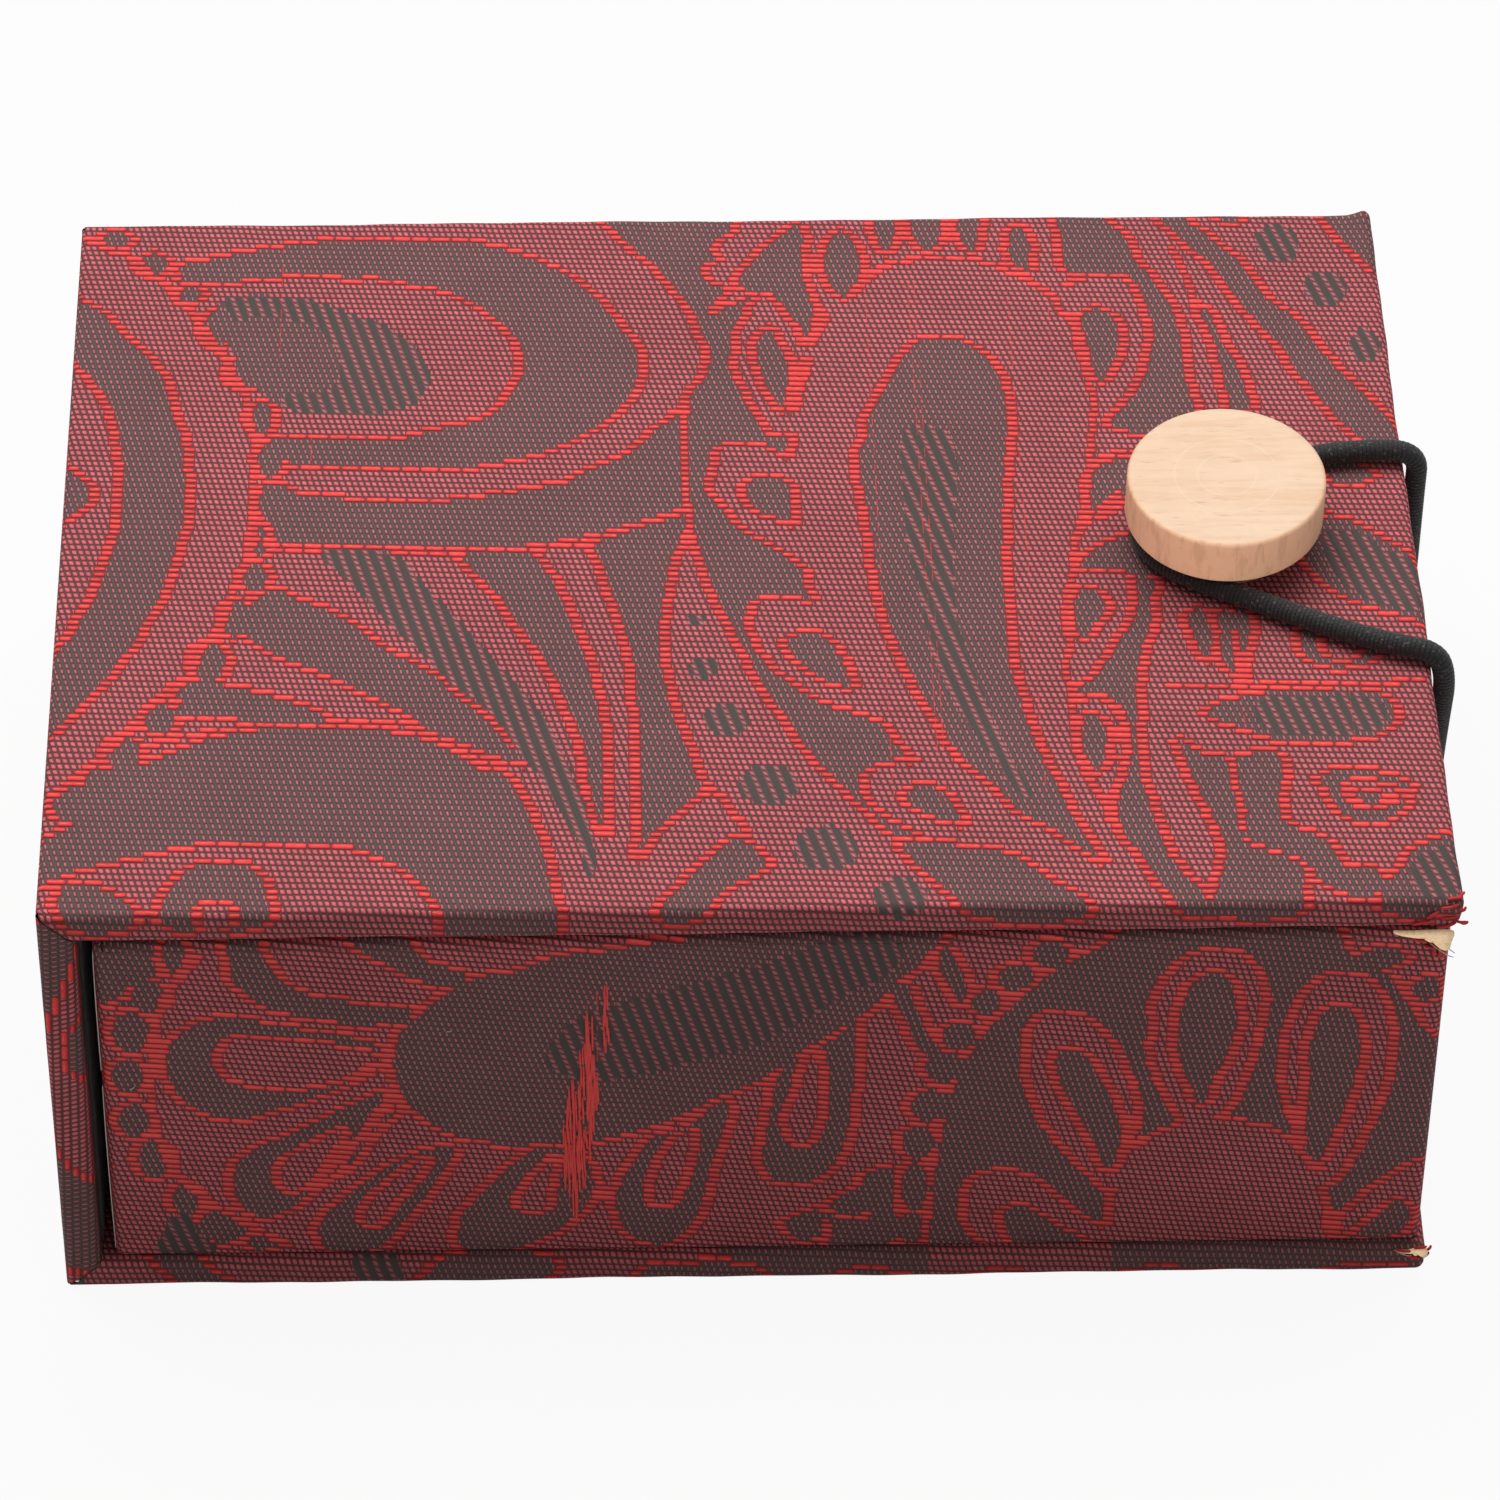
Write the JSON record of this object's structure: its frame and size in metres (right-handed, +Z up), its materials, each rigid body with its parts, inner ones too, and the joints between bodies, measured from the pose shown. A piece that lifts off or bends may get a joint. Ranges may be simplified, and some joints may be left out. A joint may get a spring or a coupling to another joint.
{
  "type": "brocade keepsake box",
  "caption": "Book-style keepsake box: cloth-wrapped base, spine and cover fold round a lined tray, closed by an elastic loop over a wooden button.",
  "frame": {"origin": "centre of the underside of the base", "axes": "+X along the box from the spine to the side with the elastic, +Y from the front to the back, +Z up"},
  "size_m": [0.1324, 0.099, 0.0578],
  "materials": {
    "brocade": "satin",
    "greyboard": "matte",
    "infill_paper": "matte",
    "lining_satin": "satin",
    "pad_foam": "matte",
    "turned_wood": "satin",
    "screw_steel": null,
    "elastic": "matte"
  },
  "bodies": {
    "tray": {"base_board": "greyboard", "base_cloth": "brocade", "base_infill_paper": "infill_paper", "tray_floor": "greyboard", "tray_front_wall": "greyboard", "tray_back_wall": "greyboard", "tray_left_wall": "greyboard", "tray_right_wall": "greyboard", "tray_wrap_cloth": "brocade", "tray_infill_paper": "infill_paper", "lining_front": "lining_satin", "lining_back": "lining_satin", "lining_left": "lining_satin", "lining_right": "lining_satin", "pad_foam": "pad_foam", "pad_satin": "lining_satin", "loop_knots": "elastic"},
    "spine": {"spine_board": "greyboard", "spine_cloth": "brocade", "spine_lining": "lining_satin"},
    "cover": {"cover_board": "greyboard", "cover_cloth": "brocade", "cover_lining": "lining_satin", "button_disc": "turned_wood", "button_neck": "turned_wood", "button_screw": "screw_steel", "button_washer": "screw_steel"},
    "loop_lower": {"loop_strands": "elastic"},
    "loop_upper": {"loop_bight": "elastic"}
  },
  "joints": [
    {"name": "spine_hinge", "type": "hinge", "parent": "tray", "child": "spine", "pos_m": [-0.065, 0, 0], "axis": [0, -1, 0], "range_deg": [0, 90]},
    {"name": "cover_hinge", "type": "hinge", "parent": "spine", "child": "cover", "pos_m": [-0.065, 0, 0.05], "axis": [0, -1, 0], "range_deg": [0, 85]},
    {"name": "loop_swing", "type": "hinge", "parent": "tray", "child": "loop_lower", "pos_m": [0.0658, 0, 0.0225], "axis": [0, 1, 0], "range_deg": [0, 110], "deforming": ["loop_strands", "loop_bight"]},
    {"name": "loop_fold", "type": "hinge", "parent": "loop_lower", "child": "loop_upper", "pos_m": [0.0657, 0, 0.0507], "axis": [0, 1, 0], "range_deg": [0, 90]}
  ],
  "couplings": [
    {"joint": "loop_fold", "follows": "loop_swing", "ratio": 0.8}
  ]
}
